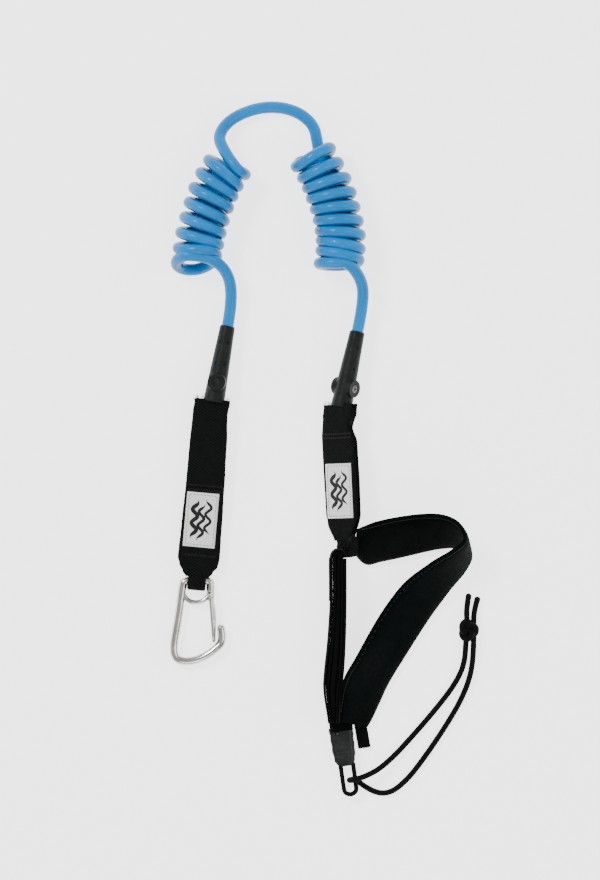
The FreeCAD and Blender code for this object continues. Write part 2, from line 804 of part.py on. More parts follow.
def pull_cord():
    """A cord round one leg of the ring, both strands running to a knot with two short free ends."""
    radius = size("pull_cord_radius")
    bend = size("ring_rod_radius") + 0.35 + radius
    down = -size("closure_length") - size("hitch_place")
    hitch = doc.addObject("Part::Torus", "Hitch")
    hitch.Radius1 = bend
    hitch.setExpression("Radius2", bound("pull_cord_radius"))
    hitch.Angle3 = 180
    # the half ring opens away from the middle of the closure ring
    turn = Rotation(Vector(0, 0, -1), Vector(-1, 0, 0), Vector(0, 1, 0), "ZXY")
    seat = Placement(Vector(size("ring_half_width"), down, 0), turn)
    keep(hitch, "pull_cord_hitch", closure_frame().multiply(seat))
    out = closure_frame().multVec(Vector(size("ring_half_width"), down, 0))
    level = size("closure_level")
    upper = [
        (out.x, out.y, level + bend),
        (31.5, -136.5, 8.4),
        (44.0, -127.0, 4.0),
        (57.0, -113.0, 2.0),
        (70.5, -97.5, 2.0),
        (83.5, -81.0, 2.6),
        (90.2, -67.5, 4.4),
        (91.2, -52.5, 6.0),
    ]
    lower = [
        (out.x, out.y, level - bend),
        (29.5, -147.0, 2.2),
        (42.0, -149.8, 2.0),
        (54.0, -140.5, 2.0),
        (65.5, -125.5, 2.0),
        (78.0, -107.0, 2.0),
        (89.0, -88.5, 2.0),
        (95.2, -71.0, 3.6),
        (96.2, -51.0, 6.0),
    ]
    cord("pull_cord_upper_strand", upper, radius)
    cord("pull_cord_lower_strand", lower, radius)
    knot = doc.addObject("Part::Ellipsoid", "Knot")
    knot.Radius1 = 5.0
    knot.Radius2 = 6.6
    knot.Radius3 = 7.3
    keep(knot, "pull_cord_knot", Placement(Vector(92.6, -45.2, 6.2), Rotation()))
    cord("pull_cord_free_end_a", [(92.0, -40.5, 6.0), (91.4, -32.0, 4.0), (93.0, -23.5, 2.4)], radius)
    cord("pull_cord_free_end_b", [(96.0, -41.0, 5.6), (96.4, -33.0, 3.4), (98.6, -25.5, 2.2)], radius)


# ---- blue cord --------------------------------------------------------------------------------------


def blue_cord():
    """Tails, coils and the arc between the coils. A coil's solid is one fat tube of its outer size."""
    radius = size("cord_radius")
    coil = size("coil_radius") + radius
    ends = {side: along_end(side, 0).multVec(Vector(0, 0, size("end_length"))) for side in SIDES}
    left_tail = [
        tuple(ends["left"]),
        (-56.9, 163.1, 10.5),
        (-58.8, 180.5, 16.0),
        (-69.5, 190.2, 25.0),
    ]
    left_coil = [
        (-59.5, 248.6, coil),
        (-68.0, 235.0, coil),
        (-73.8, 219.2, coil),
        (-78.0, 203.0, coil),
        (-80.8, 188.0, coil),
    ]
    arc = [
        (-53.5, 245.0, 28.0),
        (-61.5, 257.0, 21.0),
        (-66.4, 267.5, 13.0),
        (-57.5, 279.5, 6.5),
        (-38.0, 287.0, 4.2),
        (-18.5, 285.3, 4.2),
        (-5.5, 276.0, 4.2),
        (-2.8, 263.5, 4.2),
        (-1.5, 251.5, 4.4),
    ]
    right_coil = [
        (-7.8, 256.0, coil),
        (2.4, 237.8, coil),
        (8.8, 219.8, coil),
        (12.0, 201.6, coil),
        (10.6, 185.8, coil),
    ]
    right_tail = [
        tuple(ends["right"]),
        (25.76, 159.9, 11.5),
        (25.8, 175.2, 17.5),
        (16.5, 187.6, 26.0),
    ]
    cord("cord_left_tail", left_tail, radius)
    cord("cord_left_coil", left_coil, coil)
    cord("cord_arc", arc, radius)
    cord("cord_right_coil", right_coil, coil)
    cord("cord_right_tail", right_tail, radius)


blue_cord()
for side in SIDES:
    moulded_end(side)
    cross_screw(side)
    screw_nut(side)
    cord_plug(side)
    swivel(side)
    webbing_tab(side)
snap_hook()
wire_gate()
cuff_neck(cuff_pad())
closing_strap()
closure()
pull_cord()

doc.recompute()
for piece in doc.Objects:
    if "Invalid" in piece.State or "Error" in piece.State:
        raise RuntimeError(f"{piece.Label} did not compute: {piece.State}")
for piece in subparts:
    if piece.Shape.isNull() or not piece.Shape.isValid() or not piece.Shape.Solids:
        raise RuntimeError(f"{piece.Label} has no valid solid")

os.makedirs("parts", exist_ok=True)
for piece in subparts:
    piece.Shape.exportStep(f"parts/{piece.Label}.step")
print(f"{len(subparts)} nodes written")
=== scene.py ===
import json
import math
import random

import bpy
from mathutils import Matrix, Vector, noise


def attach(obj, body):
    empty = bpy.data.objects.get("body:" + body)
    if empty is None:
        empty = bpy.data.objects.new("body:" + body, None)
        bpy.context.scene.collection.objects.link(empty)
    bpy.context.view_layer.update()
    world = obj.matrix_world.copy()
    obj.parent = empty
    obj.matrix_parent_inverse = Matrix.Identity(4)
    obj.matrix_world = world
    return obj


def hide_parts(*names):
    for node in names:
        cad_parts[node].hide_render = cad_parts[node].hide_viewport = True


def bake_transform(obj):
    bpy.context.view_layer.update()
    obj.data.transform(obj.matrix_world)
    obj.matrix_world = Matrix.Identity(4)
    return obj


# Looks of a coiled water sports leash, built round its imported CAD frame. Blender's units are metres;
# the shapes below are written in millimetres, each in the frame of the sub-part that it belongs to.

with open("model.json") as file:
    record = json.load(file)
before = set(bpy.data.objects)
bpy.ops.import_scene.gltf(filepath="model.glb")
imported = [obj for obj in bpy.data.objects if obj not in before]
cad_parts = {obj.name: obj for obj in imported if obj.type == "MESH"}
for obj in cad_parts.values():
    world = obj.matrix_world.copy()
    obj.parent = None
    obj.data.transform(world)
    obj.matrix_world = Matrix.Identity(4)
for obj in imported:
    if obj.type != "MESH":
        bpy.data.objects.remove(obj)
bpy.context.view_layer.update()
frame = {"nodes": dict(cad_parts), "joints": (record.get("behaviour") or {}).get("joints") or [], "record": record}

MM = 0.001
UP = Vector((0, 0, 1))
ACROSS = Vector((1, 0, 0))
WORLD = Matrix.Identity(4)
JOINTS = {joint["name"]: joint for joint in frame["joints"]}


def lying(joint, heading=0.0, pitch=0.0, roll=0.0):
    """A frame at a joint whose -Y runs down the leash, turned about Z, tipped, then rolled."""
    turn = Matrix.Rotation(math.radians(heading), 4, "Z")
    tip = Matrix.Rotation(math.radians(pitch), 4, "X")
    spin = Matrix.Rotation(math.radians(roll), 4, "Y")
    return Matrix.Translation(JOINTS[joint]["pos_m"]) @ turn @ tip @ spin


SIDES = {
    "left": {
        "tab": lying("left_tab_tilt", -5.1, 2.7),
        "body": "left_tab",
        "length": 106.5,
        "label": (-0.7, -67.9),
    },
    "right": {
        "tab": lying("right_tab_tilt", 2.7, 0.0, -38.0),
        "body": "cuff",
        "length": 79.5,
        "label": (-0.3, -46.0),
    },
}
CLOSURE = lying("closure_peel", 8.0)
HOOK = lying("hook_swing")
SLOTS = {part["node"]: part["material_slot"] for part in frame["record"]["subparts"]}

# ---- camera -----------------------------------------------------------------------------------

VIEW_MIDDLE = (-0.014, 0.0753)
VIEW_HEIGHT = 0.5588
CAMERA_DISTANCE = 3.0
SENSOR = 36.0


def add_camera():
    data = bpy.data.cameras.new("camera")
    data.sensor_width = SENSOR
    data.lens = SENSOR * CAMERA_DISTANCE / VIEW_HEIGHT
    data.clip_end = 50
    camera = bpy.data.objects.new("camera", data)
    camera.location = (*VIEW_MIDDLE, CAMERA_DISTANCE)
    bpy.context.scene.collection.objects.link(camera)
    bpy.context.scene.camera = camera


# ---- materials --------------------------------------------------------------------------------


class Finish:
    """A procedural material: one Principled shader and the nodes that feed it."""

    def __init__(self, name, **values):
        self.material = bpy.data.materials.new(name)
        self.material.use_nodes = True
        self.nodes = self.material.node_tree.nodes
        self.links = self.material.node_tree.links
        self.shader = self.nodes["Principled BSDF"]
        for socket, value in values.items():
            self.shader.inputs[socket.replace("_", " ")].default_value = value

    def node(self, kind, settings=(), inputs=()):
        node = self.nodes.new("ShaderNode" + kind)
        for name, value in dict(settings).items():
            setattr(node, name, value)
        for name, value in dict(inputs).items():
            if isinstance(value, bpy.types.NodeSocket):
                self.links.new(value, node.inputs[name])
            else:
                node.inputs[name].default_value = value
        return node

    def noise(self, scale, detail=4.0, stretch=(1, 1, 1)):
        place = self.node("TexCoord").outputs["Object"]
        stretched = self.node("Mapping", inputs={"Vector": place, "Scale": stretch}).outputs[0]
        inputs = {"Vector": stretched, "Scale": scale, "Detail": detail}
        return self.node("TexNoise", inputs=inputs).outputs[0]

    def maths(self, operation, one, two=0.0):
        return self.node("Math", {"operation": operation}, {0: one, 1: two}).outputs[0]

    def ramp(self, factor, low, high, start=0.3, stop=0.7):
        ramp = self.node("ValToRGB", inputs={0: factor})
        for element, place, value in zip(ramp.color_ramp.elements, (start, stop), (low, high)):
            element.position = place
            element.color = (*value, 1) if len(value) == 3 else value
        return ramp.outputs[0]

    def feed(self, socket, value):
        self.links.new(value, self.shader.inputs[socket])

    def grey(self, socket, factor, low, high):
        self.feed(socket, self.ramp(factor, (low, low, low), (high, high, high)))

    def tone_with_painted_shade(self, factor, low, high, shade):
        """A colour by noise, with painted shade: darker on the sides that face away from above."""
        normal = self.node("NewGeometry").outputs["Normal"]
        lift = self.node("SeparateXYZ", inputs={0: normal}).outputs[2]
        painted_underside_shade = self.ramp(lift, (shade, shade, shade), (1, 1, 1), 0.15, 0.75)
        worn = self.ramp(factor, low, high)
        settings = {"data_type": "RGBA", "blend_type": "MULTIPLY"}
        # painted shade: the noise colour is multiplied down on the sides that face away from above
        mixed = self.node("Mix", settings, {0: 1.0, 6: worn, 7: painted_underside_shade}).outputs[2]
        self.feed("Base Color", mixed)

    def bump(self, *layers):
        """Bumps of (height, depth in metres), one upon the other."""
        normal = None
        for height, depth in layers:
            inputs = {"Height": height, "Distance": depth, "Strength": 1.0}
            if normal is not None:
                inputs["Normal"] = normal
            normal = self.node("Bump", inputs=inputs).outputs[0]
        self.feed("Normal", normal)

    def weave(self, rib, warp):
        """Height of a plain weave over UVs in metres: ribs across, broken from warp to warp."""
        parts = self.node("SeparateXYZ", inputs={0: self.node("UVMap").outputs[0]}).outputs
        column = self.maths("FLOOR", self.maths("DIVIDE", parts[0], warp))
        half_ribs = self.maths("MULTIPLY", column, 0.5)
        shifted = self.maths("ADD", self.maths("DIVIDE", parts[1], rib), half_ribs)
        ribs = self.maths("ABSOLUTE", self.maths("SINE", self.maths("MULTIPLY", shifted, math.pi)))
        across = self.maths("MULTIPLY", self.maths("DIVIDE", parts[0], warp), math.pi)
        threads = self.maths("ABSOLUTE", self.maths("SINE", across))
        return self.maths("MULTIPLY", ribs, self.maths("ADD", self.maths("MULTIPLY", threads, 0.5), 0.5))


def urethane():
    finish = Finish("blue_urethane", Specular_IOR_Level=0.14, Coat_Weight=0.1, Coat_Roughness=0.1,
                    Subsurface_Weight=0.04, Subsurface_Radius=(0.1, 0.5, 1.0), Subsurface_Scale=0.002)
    # painted shade: the blue is darker on the sides of the cord that face away from above
    finish.tone_with_painted_shade(finish.noise(35), (0.0, 0.205, 0.56), (0.0, 0.245, 0.66), 0.4)
    finish.grey("Roughness", finish.noise(220, 6), 0.22, 0.38)
    finish.bump((finish.noise(90, 2), 0.0002), (finish.noise(1400, 3), 0.00003))
    return finish.material


def moulded_plastic():
    finish = Finish("black_moulded_plastic", Specular_IOR_Level=0.16)
    worn = finish.ramp(finish.noise(160, 6), (0.0055, 0.0065, 0.0065), (0.012, 0.0135, 0.0135))
    finish.feed("Base Color", worn)
    finish.grey("Roughness", finish.noise(500, 5), 0.42, 0.62)
    finish.bump((finish.noise(2600, 4), 0.00006), (finish.noise(180, 2), 0.00012))
    return finish.material


def washer_plastic():
    finish = Finish("white_washer_plastic", IOR=1.5)
    finish.feed("Base Color", finish.ramp(finish.noise(300), (0.55, 0.54, 0.5), (0.72, 0.71, 0.68)))
    finish.grey("Roughness", finish.noise(800), 0.3, 0.45)
    finish.bump((finish.noise(2000), 0.00003))
    return finish.material


def polished_steel(name, low, high, shade):
    finish = Finish(name, Metallic=1.0)
    # painted shade: the steel is darker on the sides that face away from above, by the shade argument
    finish.tone_with_painted_shade(finish.noise(120, 6), low, high, shade)
    finish.grey("Roughness", finish.noise(900, 6, (1, 0.15, 1)), 0.1, 0.26)
    finish.bump((finish.noise(2200, 4, (1, 0.1, 1)), 0.00003), (finish.noise(260, 2), 0.00006))
    return finish.material


def woven(name, low, high, rib, warp, depth, roughness=0.78, sheen=0.02):
    """Any narrow fabric: its threads by a weave, its wear by noise."""
    finish = Finish(name, Sheen_Weight=sheen, Sheen_Roughness=0.45, Specular_IOR_Level=0.08)
    height = finish.weave(rib, warp)
    worn = finish.maths("MULTIPLY", height, finish.maths("ADD", finish.noise(240, 6), 0.45))
    finish.feed("Base Color", finish.ramp(worn, low, high, 0.15, 0.95))
    finish.grey("Roughness", finish.noise(900, 5), roughness - 0.12, roughness + 0.12)
    finish.bump((height, depth), (finish.noise(5200, 3), depth * 0.3))
    return finish.material


def neoprene():
    finish = Finish("black_neoprene", Sheen_Weight=0.008, Sheen_Roughness=0.35,
                    Sheen_Tint=(0.45, 0.8, 0.75, 1), Specular_IOR_Level=0.03)
    worn = finish.ramp(finish.noise(75, 6), (0.0009, 0.0019, 0.0018), (0.0024, 0.004, 0.0038))
    finish.feed("Base Color", worn)
    finish.grey("Roughness", finish.noise(700, 5), 0.68, 0.9)
    finish.bump((finish.weave(0.0007, 0.0006), 0.00012), (finish.noise(60, 3), 0.0006))
    return finish.material


def thread(name, low, high):
    finish = Finish(name, Sheen_Weight=0.05, Specular_IOR_Level=0.3)
    finish.feed("Base Color", finish.ramp(finish.noise(1500, 3), low, high))
    finish.grey("Roughness", finish.noise(3000, 3), 0.45, 0.65)
    finish.bump((finish.noise(6000, 2, (1, 0.25, 1)), 0.0001))
    return finish.material


def closure_plastic():
    finish = Finish("grey_vinyl", Coat_Weight=0.12, Coat_Roughness=0.2, Specular_IOR_Level=0.25)
    worn = finish.ramp(finish.noise(90, 6), (0.006, 0.0068, 0.0065), (0.017, 0.019, 0.018))
    finish.feed("Base Color", worn)
    finish.grey("Roughness", finish.noise(380, 5), 0.24, 0.48)
    finish.bump((finish.noise(1200, 3, (1, 0.3, 1)), 0.0001), (finish.noise(150, 3), 0.0004))
    return finish.material


def floor_finish():
    finish = Finish("pale_floor", Roughness=0.9, Emission_Color=(1, 1, 1, 1), Emission_Strength=2.4)
    finish.feed("Base Color", finish.ramp(finish.noise(2, 2), (0.9, 0.9, 0.9), (0.915, 0.915, 0.915)))
    return finish.material


BLACK = (0.0009, 0.0011, 0.0011)
FINISHES = {
    "blue_cord": urethane(),
    "moulded_plastic": moulded_plastic(),
    "washer_plastic": washer_plastic(),
    "steel": polished_steel("polished_stainless", (0.6, 0.59, 0.55), (0.86, 0.85, 0.81), 0.12),
    "webbing": woven("black_webbing", BLACK, (0.0085, 0.0095, 0.0095), 0.0018, 0.0013, 0.0002),
    "label_cloth": woven("white_label_cloth", (0.93, 0.95, 0.91), (0.98, 0.99, 0.97), 0.0004, 0.00045,
                         0.00006),
    "thread": thread("black_thread", (0.002, 0.0024, 0.0024), (0.011, 0.012, 0.012)),
    "neoprene": neoprene(),
    "hook_tape": woven("black_hook_tape", BLACK, (0.006, 0.0066, 0.0066), 0.0009, 0.0009, 0.0003, 0.85),
    "closure_plastic": closure_plastic(),
    "braided_cord": woven("black_braid", (0.001, 0.0012, 0.0012), (0.009, 0.01, 0.01), 0.0005, 0.0004,
                          0.00012),
}
DARK_STEEL = polished_steel("blackened_steel", (0.03, 0.03, 0.03), (0.1, 0.1, 0.1), 0.3)
GREY_THREAD = thread("grey_thread", (0.1, 0.105, 0.1), (0.25, 0.26, 0.25))
GREY_TRIM = woven("grey_trim", (0.004, 0.0046, 0.0044), (0.014, 0.015, 0.0147), 0.0008, 0.0007, 0.0001)


# ---- shapes -----------------------------------------------------------------------------------


def ease(share):
    """0 below 0, 1 above 1, and a smooth step between."""
    share = min(max(share, 0.0), 1.0)
    return share * share * (3 - 2 * share)


def along(points, share):
    """A point of the smooth curve through a few points; share runs from 0 to 1."""
    spans = len(points) - 1
    reach = min(max(share, 0.0), 1.0) * spans
    i = min(int(reach), spans - 1)
    t = reach - i
    one, two = points[i], points[i + 1]
    before = points[i - 1] if i > 0 else 2 * one - two
    after = points[i + 2] if i + 2 <= spans else 2 * two - one
    bend = (2 * before - 5 * one + 4 * two - after) * t * t
    twist = (3 * one - before - 3 * two + after) * t * t * t
    return 0.5 * (2 * one + (two - before) * t + bend + twist)


def nurbs(name, points, radius=0.0):
    """A curve object of one open NURBS spline with these control points, in millimetres."""
    curve = bpy.data.curves.new(name, "CURVE")
    curve.dimensions = "3D"
    spline = curve.splines.new("NURBS")
    spline.points.add(len(points) - 1)
    for control, point in zip(spline.points, points):
        control.co = (*(Vector(point) * MM), 1)
    spline.order_u = 3
    spline.use_endpoint_u = True
    spline.resolution_u = 6
    curve.resolution_u = 6
    curve.bevel_depth = radius * MM
    curve.bevel_resolution = 9
    curve.use_fill_caps = radius > 0
    piece = bpy.data.objects.new(name, curve)
    bpy.context.scene.collection.objects.link(piece)
    return piece


def nurbs_line(points):
    """Points along the NURBS spline of a route, in millimetres."""
    piece = nurbs("line", points)
    mesh = bpy.data.meshes.new_from_object(piece)
    line = [vertex.co / MM for vertex in mesh.vertices]
    bpy.data.objects.remove(piece)
    bpy.data.meshes.remove(mesh)
    return line


def evenly(line, step):
    """The same line with points an equal step apart."""
    runs = [(b - a).length for a, b in zip(line, line[1:])]
    count = max(2, round(sum(runs) / step))
    spaced = []
    i, passed = 0, 0.0
    for k in range(count + 1):
        reach = sum(runs) * k / count
        while i < len(runs) - 1 and passed + runs[i] < reach:
            passed += runs[i]
            i += 1
        spaced.append(line[i].lerp(line[i + 1], (reach - passed) / runs[i]))
    return spaced


class Shape:
    """The vertices, faces and UVs of one piece, in millimetres of its own frame."""

    def __init__(self):
        self.points = []
        self.uvs = []
        self.faces = []

    def loft(self, rings, uvs, closed=False):
        """Quads between rings of points, with a cap of strips at each end unless it is closed."""
        base = len(self.points)
        count = len(rings[0])
        for ring, row in zip(rings, uvs):
            self.points.extend(ring)
            self.uvs.extend(row)
        last = len(rings) - 1
        for i in range(last + closed):
            here = base + i * count
            there = base + ((i + 1) % len(rings)) * count
            for k in range(count):
                after = (k + 1) % count
                self.faces.append((here + k, here + after, there + after, there + k))
        if not closed:
            for ring, flip in ((0, True), (last, False)):
                start = base + ring * count
                for k in range(count // 2):
                    far, near = (-k) % count, (-k - 1) % count
                    quad = list(dict.fromkeys([start + k, start + k + 1, start + near, start + far]))
                    if len(quad) > 2:
                        self.faces.append(tuple(reversed(quad)) if flip else tuple(quad))
        return base, count

    def strip(self, stations, columns, crown=8.0, weave=None):
        """A flat band; each station is its centre, across, normal, half width, half thickness, run."""
        rings, uvs = [], []
        for centre, across, normal, wide, thick, run in stations:
            ring, row = [], []
            for k in range(2 * columns):
                front = k <= columns
                share = 2 * k / columns - 1 if front else 3 - 2 * k / columns
                height = thick * math.sqrt(max(0.0, 1 - abs(share) ** crown))
                if weave is not None and abs(share) < 1:
                    height += weave(share * wide, run)
                side = height if front else -height
                ring.append(centre + across * (share * wide) + normal * side)
                row.append((share * wide * MM, run * MM))
            rings.append(ring)
            uvs.append(row)
        return self.loft(rings, uvs)

    def rod(self, line, radius, sides=12, relief=None, closed=False, rounded=True):
        """A round rod along a line; relief(turn, run) is added to its radius."""
        rings, uvs = [], []
        tangent = (line[1] - line[0]).normalized()
        side = tangent.orthogonal().normalized()
        run = 0.0
        for i, point in enumerate(line):
            before = line[max(i - 1, 0)] if not closed else line[i - 1]
            after = line[min(i + 1, len(line) - 1)] if not closed else line[(i + 1) % len(line)]
            onward = (after - before).normalized()
            side = (side - onward * side.dot(onward)).normalized()
            other = onward.cross(side)
            if i:
                run += (point - line[i - 1]).length
            ring, row = [], []
            for k in range(sides):
                turn = 2 * math.pi * k / sides
                reach = radius + (relief(turn, run) if relief else 0.0)
                ring.append(point + (side * math.cos(turn) + other * math.sin(turn)) * reach)
                row.append((turn * radius * MM, run * MM))
            rings.append(ring)
            uvs.append(row)
        if rounded and not closed:
            rings, uvs = self.rounded_ends(rings, uvs, line)
        self.loft(rings, uvs, closed)

    @staticmethod
    def rounded_ends(rings, uvs, line):
        """Adds shrinking rings past both ends, as a dome."""
        for at_end in (False, True):
            ring = rings[-1] if at_end else rings[0]
            row = uvs[-1] if at_end else uvs[0]
            centre = line[-1] if at_end else line[0]
            onward = (line[-1] - line[-2] if at_end else line[0] - line[1]).normalized()
            size = (ring[0] - centre).length
            for angle in (30, 55, 78):
                turn = math.radians(angle)
                push = onward * size * math.sin(turn) * 0.8
                dome = [centre + (point - centre) * math.cos(turn) + push for point in ring]
                rings = rings + [dome] if at_end else [dome] + rings
                uvs = uvs + [row] if at_end else [row] + uvs
        return rings, uvs

    def stitch(self, place, along_it, up, length=1.6, radius=0.22):
        """One stitch: a short arched rod whose ends go into the fabric."""
        half = along_it.normalized() * (length / 2)
        line = [place - half - up * radius, place - half * 0.6 + up * radius * 0.6,
                place + half * 0.6 + up * radius * 0.6, place + half - up * radius]
        self.rod(line, radius, 6, rounded=False)

    def piece(self, name, slot, body=None, place=WORLD, replaces=(), finish=None):
        """The finished object, in the row frame, riding on its body."""
        mesh = bpy.data.meshes.new(name)
        mesh.from_pydata([place @ (point * MM) for point in self.points], [], self.faces)
        layer = mesh.uv_layers.new(name="UVMap")
        for loop in mesh.loops:
            layer.data[loop.index].uv = self.uvs[loop.vertex_index]
        mesh.shade_smooth()
        mesh.update()
        piece = bpy.data.objects.new(name, mesh)
        bpy.context.scene.collection.objects.link(piece)
        mesh.materials.append(finish or FINISHES[slot])
        if replaces:
            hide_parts(*replaces)
        if body:
            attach(piece, body)
        return piece


# ---- blue cord --------------------------------------------------------------------------------

CORD_RADIUS = 3.8
TURN_RADIUS = 12.3
TURN_POINTS = 16
COIL_LEVEL = 16.3
LEFT_EXIT = Vector((-59.75, 147.60, 10.5))
RIGHT_EXIT = Vector((22.37, 144.11, 11.5))
LEFT_TAIL = [(-56.9, 163.1, 10.5), (-58.8, 180.5, 16.0), (-69.5, 190.2, 25.0)]
RIGHT_TAIL = [(25.76, 159.9, 11.5), (25.8, 175.2, 17.5), (16.5, 187.6, 26.0)]
CORD_ARC = [
    (-53.5, 245.0, 28.0),
    (-61.5, 257.0, 21.0),
    (-66.4, 267.5, 13.0),
    (-57.5, 279.5, 6.5),
    (-38.0, 287.0, 4.2),
    (-18.5, 285.3, 4.2),
    (-5.5, 276.0, 4.2),
    (-2.8, 263.5, 4.2),
    (-1.5, 251.5, 4.4),
]
LEFT_COIL = {
    "axis": [(-59.0, 249.4), (-67.4, 235.0), (-73.2, 218.6), (-77.4, 202.0), (-80.0, 186.0)],
    "start": 0,
    "turns": 7.7,
    "leans": (0, 0, -1, 3, 10),
    "rake": 6.5,
}
RIGHT_COIL = {
    "axis": [(-7.4, 257.0), (2.4, 238.4), (8.8, 219.8), (11.8, 201.6), (10.4, 184.8)],
    "start": 235,
    "turns": 9.4,
    "leans": (12, 1, -3, -4, 5),
    "rake": 2.0,
}


def coil(axis, start, turns, leans, rake):
    """A coil's turns, over from left to right and back beneath, as points of the cord's route."""
    axis = [Vector((*point, COIL_LEVEL)) for point in axis]
    steps = round(turns * TURN_POINTS)
    inside = math.cos(math.pi / TURN_POINTS)
    points = []
    for i in range(steps + 1):
        share = i / steps
        onward = (along(axis, share + 0.02) - along(axis, share - 0.02)).normalized()
        tilt = math.radians(along(leans, share))
        heading = math.atan2(onward.x, -onward.y) + tilt
        right = Vector((math.cos(heading), math.sin(heading), 0))
        turn = math.radians(start) - 2 * math.pi * i / TURN_POINTS
        uneven = 1 + 0.012 * math.sin(2.3 * turn)
        radius = TURN_RADIUS / inside * uneven
        slip = onward * (-rake * math.sin(turn) * ease((share - 0.85) / 0.1))
        lift = UP * (radius - TURN_RADIUS / inside)
        outward = right * math.cos(turn) + UP * math.sin(turn)
        points.append(along(axis, share) + outward * radius + slip + lift)
    return points


def blue_cord():
    left_turns = list(reversed(coil(**LEFT_COIL)))
    right_turns = coil(**RIGHT_COIL)
    points = [LEFT_EXIT, *LEFT_TAIL, *left_turns, *CORD_ARC, *right_turns, *reversed(RIGHT_TAIL), RIGHT_EXIT]
    piece = nurbs("coiled_cord", points, CORD_RADIUS)
    piece.data.materials.append(FINISHES["blue_cord"])
    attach(piece, "coil_cord")
    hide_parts("cord_left_tail", "cord_left_coil", "cord_arc", "cord_right_coil", "cord_right_tail")


# ---- pull cord --------------------------------------------------------------------------------

PULL_RADIUS = 1.8
RING_LEG = Vector((20.99, -139.71, 6.5))
HITCH_BEND = 3.65
UPPER_STRAND = [
    (20.99, -139.71, 10.15),
    (31.5, -136.5, 8.4),
    (44.0, -127.0, 4.0),
    (57.0, -113.0, 2.0),
    (70.5, -97.5, 2.0),
    (83.5, -81.0, 2.6),
    (90.2, -67.5, 4.4),
    (91.2, -52.5, 6.0),
    (92.0, -40.5, 6.0),
    (91.4, -32.0, 4.0),
    (93.0, -23.5, 2.4),
]
LOWER_STRAND = [
    (20.99, -139.71, 2.85),
    (29.5, -147.0, 2.2),
    (42.0, -149.8, 2.0),
    (54.0, -140.5, 2.0),
    (65.5, -125.5, 2.0),
    (78.0, -107.0, 2.0),
    (89.0, -88.5, 2.0),
    (95.2, -71.0, 3.6),
    (96.2, -51.0, 6.0),
    (96.0, -41.0, 5.6),
    (96.4, -33.0, 3.4),
    (98.6, -25.5, 2.2),
]
KNOT_MIDDLE = Vector((92.6, -45.2, 6.2))
KNOT_STRANDS = 4
BRAID_CELL = 1.41


def braid(turn, run):
    """Relief of a round braid: strands of two hands that pass over and under each other."""
    one = KNOT_STRANDS * turn + math.pi * run / BRAID_CELL
    two = KNOT_STRANDS * turn - math.pi * run / BRAID_CELL
    over = (math.floor(one / math.pi) + math.floor(two / math.pi)) % 2 == 0
    across, length = (one, two) if over else (two, one)
    return 0.24 * (math.sqrt(abs(math.sin(across))) * (0.6 + 0.4 * abs(math.sin(length))) - 0.6)


def braided(shape, line):
    shape.rod(evenly(line, 0.35), PULL_RADIUS, 32, braid)


def knot_line():
    """A tight trefoil, as the two strands tied together in one overhand knot."""
    line = []
    for i in range(120):
        turn = 2 * math.pi * i / 120
        reach = 3.6 + 1.5 * math.cos(3 * turn)
        up_page = 1.15 * reach * math.sin(2 * turn)
        line.append(KNOT_MIDDLE + Vector((reach * math.cos(2 * turn), up_page, 2.1 * math.sin(3 * turn))))
    return line


def pull_cord():
    knot = Shape()
    knot.rod(knot_line(), PULL_RADIUS, 24, braid, closed=True)
    knot = knot.piece("pull_cord_overhand_knot", "braided_cord", "pull_cord", replaces=["pull_cord_knot"])
    strands = (
        ("pull_cord_strand_a", UPPER_STRAND, ["pull_cord_upper_strand", "pull_cord_free_end_a"], [knot]),
        ("pull_cord_strand_b", LOWER_STRAND, ["pull_cord_lower_strand", "pull_cord_free_end_b"], []),
    )
    for name, route, nodes, with_pieces in strands:
        line = nurbs_line(route)
        shape = Shape()
        braided(shape, line)
        tip = [line[-1] - (line[-1] - line[-2]).normalized() * 1.6, line[-1]]
        shape.rod(tip, PULL_RADIUS + 0.12, 24)
        piece = shape.piece(name, "braided_cord", "pull_cord", replaces=nodes)
    hitch = Shape()
    away = CLOSURE.to_3x3() @ ACROSS
    line = []
    for i in range(25):
        turn = math.pi * (i / 24 - 0.5)
        line.append(RING_LEG + (UP * math.sin(turn) - away * math.cos(turn)) * HITCH_BEND)
    braided(hitch, line)
    hitch.piece("pull_cord_hitch_turn", "braided_cord", "pull_cord", replaces=["pull_cord_hitch"])


# ---- webbing tabs -----------------------------------------------------------------------------

RIB = 1.8
WARP = 1.3
CORE = 1.3
LAYER = 0.625
FACE = CORE + LAYER
SURFACE = CORE + 2 * LAYER
MOUTH_SIDE = 7.9
TAB_TOP = 8.6


def rib_relief(u, v):
    """Ribs across the webbing, half a rib off from one warp column to the next."""
    shift = 0.5 * (math.floor(u / WARP) % 2)
    return 0.17 * (abs(math.sin(math.pi * (v / RIB + shift))) - 0.4)


def fabric_layer(shape, left, right, top, bottom, level, thick=LAYER, columns=40, seed=0.0):
    """Webbing lying along -Y; left and right give its edges and level its middle height at a Y."""
    count = max(2, round((top - bottom) / (RIB / 4)))
    stations = []
    for i in range(count + 1):
        y = top + (bottom - top) * i / count
        ripple = 0.16 * noise.noise((y * 0.35, seed, 0.0))
        near, far = left(y) - ripple, right(y) + ripple
        centre = Vector(((near + far) / 2, y, level(y)))
        stations.append((centre, ACROSS, UP, (far - near) / 2, thick, -y))
    return shape.strip(stations, columns, 8.0, rib_relief)


def widths(points):
    """A half width that changes smoothly with Y, through (y, width) points."""
    def width(y):
        for (y0, w0), (y1, w1) in zip(points, points[1:]):
            if y >= y1:
                return w0 + (w1 - w0) * ease((y0 - y) / (y0 - y1))
        return points[-1][1]
    return width


def sleeve(shape, y, radius, half_width):
    """Webbing turned once round a bar along X."""
    stations = []
    for i in range(41):
        turn = 2 * math.pi * i / 40
        outward = Vector((0, math.cos(turn), math.sin(turn)))
        centre = Vector((0, y, 0)) + outward * (radius + LAYER)
        stations.append((centre, ACROSS, outward, half_width, LAYER, turn * radius))
    shape.strip(stations, 14, 8.0, rib_relief)


